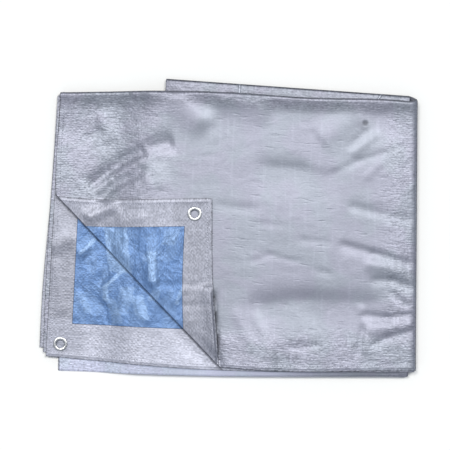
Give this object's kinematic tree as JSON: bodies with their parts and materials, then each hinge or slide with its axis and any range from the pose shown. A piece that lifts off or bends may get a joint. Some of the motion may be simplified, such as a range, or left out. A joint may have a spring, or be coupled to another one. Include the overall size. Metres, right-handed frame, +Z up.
{
  "type": "folded tarp",
  "caption": "Woven plastic tarp, silver on one side and blue on the other, folded flat into a thick pad with a front corner turned back and eyelets in its hem.",
  "frame": {"origin": "centre of the folded tarp's outline, on the surface that it rests on", "axes": "+X along its longer side, towards the thick fold; +Y away from the turned-back corner's edge, up in the picture; +Z up from the surface"},
  "size_m": [0.517, 0.4096, 0.029],
  "materials": {
    "tarp_cloth": "woven plastic tape, coated: satin silver on its outer side, satin blue on its inner side",
    "hem_cloth": "the silver side turned over at the edge and welded, with a cord inside",
    "eyelet_metal": "bright pressed aluminium"
  },
  "bodies": {
    "root": {"tarp_sheet": "tarp_cloth", "hem_strip_turned": "hem_cloth", "hem_strip_lower": "hem_cloth", "eyelet_turned": "eyelet_metal", "eyelet_lower": "eyelet_metal"}
  },
  "joints": []
}
